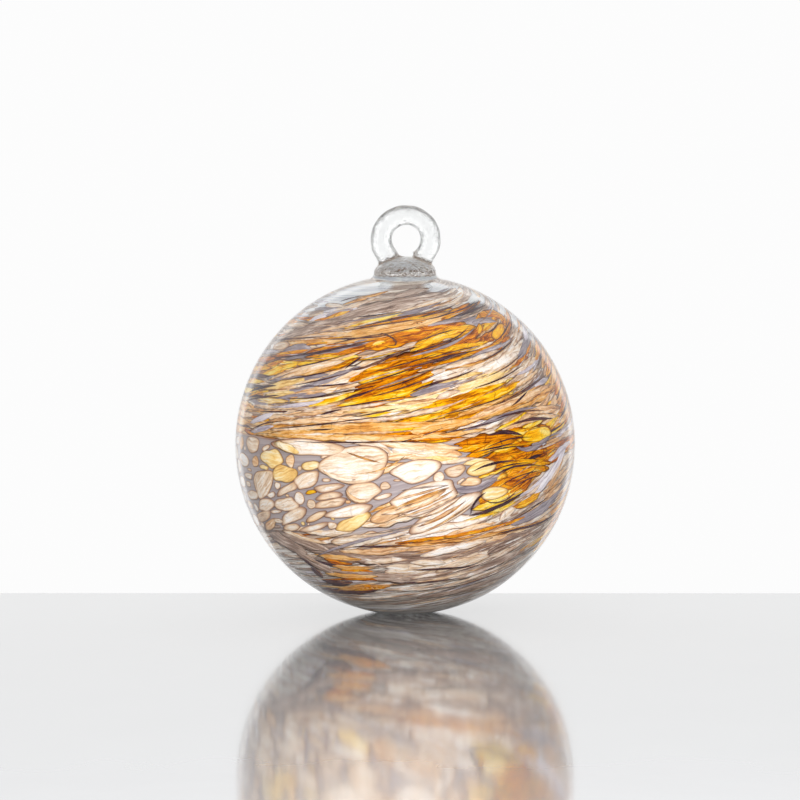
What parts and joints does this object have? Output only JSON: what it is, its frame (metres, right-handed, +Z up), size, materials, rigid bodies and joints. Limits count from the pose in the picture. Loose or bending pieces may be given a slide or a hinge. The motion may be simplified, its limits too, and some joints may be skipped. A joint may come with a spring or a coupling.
{
  "type": "friendship ball",
  "caption": "Closed hand-blown glass ball on a small flat spot, with a clear gob and a thick glass hanging loop fused to its crown.",
  "frame": {"origin": "middle of the small flat spot that the ball stands on", "axes": "+Z up through the ball and its loop; +X along the width of the loop, so that a cord passes through the eye along Y; -Y faces the picture's viewer"},
  "size_m": [0.1, 0.1, 0.12],
  "materials": {
    "swirled_glass": "fire-polished blown glass with amber, cream and smoke frit swirled inside the wall",
    "clear_glass": "clear, fire-polished",
    "coloured_frit": "amber, gold and cream chips of frit, stretched and twisted",
    "smoke_ground": "smoky lilac-grey inner layer behind the frit"
  },
  "bodies": {
    "root": {"glass_ball": "swirled_glass"}
  },
  "joints": []
}
